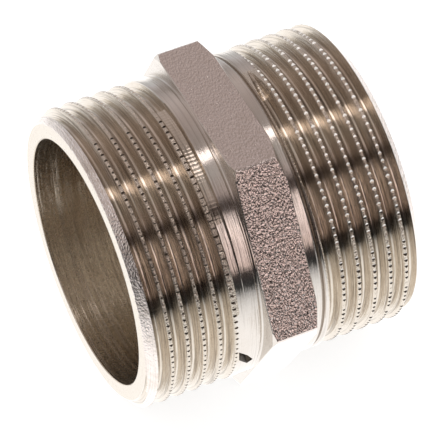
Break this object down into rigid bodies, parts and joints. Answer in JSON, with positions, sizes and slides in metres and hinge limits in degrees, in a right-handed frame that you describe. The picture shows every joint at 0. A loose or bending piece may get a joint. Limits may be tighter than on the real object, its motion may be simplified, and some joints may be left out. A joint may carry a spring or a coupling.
{
  "type": "hex nipple",
  "caption": "Short pipe nipple with a male pipe thread at each end, a spanner hexagon between them and a straight through bore.",
  "frame": {"origin": "centre of the fitting, on the pipe axis, midway between the end faces and midway along the hexagon", "axes": "+X along the pipe axis towards the right end, +Z out of the top spanner flat, -Y towards the front"},
  "size_m": [0.04, 0.0482, 0.042],
  "materials": {
    "nickel_plated_brass": "nickel-plated brass: satin turned threads and collars, blasted spanner flats"
  },
  "bodies": {
    "root": {"nipple_body": "nickel_plated_brass"}
  },
  "joints": []
}
